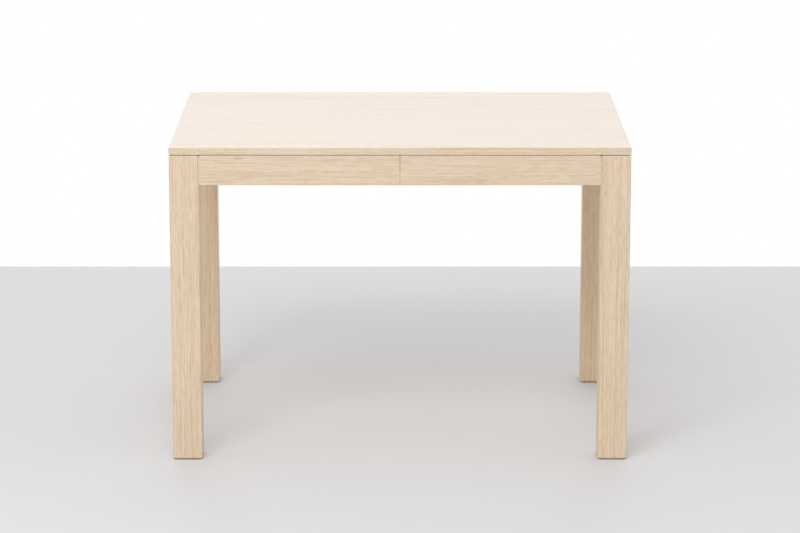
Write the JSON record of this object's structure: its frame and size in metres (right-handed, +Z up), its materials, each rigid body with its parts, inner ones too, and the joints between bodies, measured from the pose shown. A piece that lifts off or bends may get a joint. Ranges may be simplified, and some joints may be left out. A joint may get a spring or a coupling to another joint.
{
  "type": "extending table",
  "caption": "Wooden dining table with a one-piece top on two half frames that draw apart on geared slides, with two loose leaves stored under the top.",
  "frame": {"origin": "on the floor, under the middle of the closed table", "axes": "+X along the extension, to the right seen from the front; -Y is the front; +Z up"},
  "size_m": [1.1, 0.8, 0.77],
  "materials": {
    "oak": "satin white-oiled oak",
    "beech": "plain planed beech",
    "steel": "zinc plated",
    "felt": "pressed felt",
    "nylon": "moulded nylon"
  },
  "bodies": {
    "centre_carriage": {"tabletop": "oak", "front_centre_bar": "beech", "rear_centre_bar": "beech", "front_leaf_runner": "beech", "rear_leaf_runner": "beech", "centre_bar_screws": "steel", "leaf_runner_screws": "steel", "pinion_pins": "steel"},
    "left_frame": {"left_front_leg": "oak", "left_rear_leg": "oak", "left_front_pad": "felt", "left_rear_pad": "felt", "left_front_apron": "oak", "left_rear_apron": "oak", "left_end_apron": "oak", "left_bearer": "beech", "left_front_slide_bar": "beech", "left_rear_slide_bar": "beech", "left_front_rack": "steel", "left_rear_rack": "steel", "left_glue_blocks": "beech", "left_bearer_screws": "steel", "left_slide_strips": "nylon", "left_seam_dowels": "beech", "left_hook_stud": "steel", "left_hook_peg": "steel", "left_catch_stud": "steel"},
    "right_frame": {"right_front_leg": "oak", "right_rear_leg": "oak", "right_front_pad": "felt", "right_rear_pad": "felt", "right_front_apron": "oak", "right_rear_apron": "oak", "right_end_apron": "oak", "right_bearer": "beech", "right_front_slide_bar": "beech", "right_rear_slide_bar": "beech", "right_front_rack": "steel", "right_rear_rack": "steel", "right_glue_blocks": "beech", "right_bearer_screws": "steel", "right_slide_strips": "nylon", "right_seam_dowels": "beech", "right_hook_stud": "steel", "right_hook_peg": "steel", "right_catch_stud": "steel"},
    "front_pinion": {"front_pinion": "steel"},
    "rear_pinion": {"rear_pinion": "steel"},
    "front_seam_hook": {"front_seam_hook": "steel"},
    "rear_seam_hook": {"rear_seam_hook": "steel"},
    "upper_leaf": {"upper_leaf": "oak", "upper_leaf_dowels": "beech"},
    "lower_leaf": {"lower_leaf": "oak", "lower_leaf_dowels": "beech"}
  },
  "joints": [
    {"name": "left_slide", "type": "slide", "parent": "centre_carriage", "child": "left_frame", "axis": [-1, 0, 0], "range_m": [0, 0.45]},
    {"name": "right_slide", "type": "slide", "parent": "centre_carriage", "child": "right_frame", "axis": [1, 0, 0], "range_m": [0, 0.45]},
    {"name": "front_pinion_spin", "type": "hinge", "parent": "centre_carriage", "child": "front_pinion", "pos_m": [0, -0.2867, 0.734], "axis": [0, 0, -1], "range_deg": [0, 1150]},
    {"name": "rear_pinion_spin", "type": "hinge", "parent": "centre_carriage", "child": "rear_pinion", "pos_m": [0, 0.2867, 0.734], "axis": [0, 0, -1], "range_deg": [0, 1150]},
    {"name": "front_hook_turn", "type": "hinge", "parent": "left_frame", "child": "front_seam_hook", "pos_m": [-0.022, -0.3758, 0.694], "axis": [0, 1, 0], "range_deg": [0, 180]},
    {"name": "rear_hook_turn", "type": "hinge", "parent": "right_frame", "child": "rear_seam_hook", "pos_m": [0.022, 0.3758, 0.694], "axis": [0, -1, 0], "range_deg": [0, 180]},
    {"name": "upper_leaf_slide", "type": "slide", "parent": "centre_carriage", "child": "upper_leaf", "axis": [1, 0, 0], "range_m": [-0.115, 0.115]},
    {"name": "lower_leaf_slide", "type": "slide", "parent": "centre_carriage", "child": "lower_leaf", "axis": [1, 0, 0], "range_m": [-0.115, 0.115]}
  ],
  "couplings": [
    {"joint": "right_slide", "follows": "left_slide", "ratio": 1},
    {"joint": "front_pinion_spin", "follows": "left_slide", "rad_per_m": 44.444},
    {"joint": "rear_pinion_spin", "follows": "left_slide", "rad_per_m": 44.444}
  ]
}
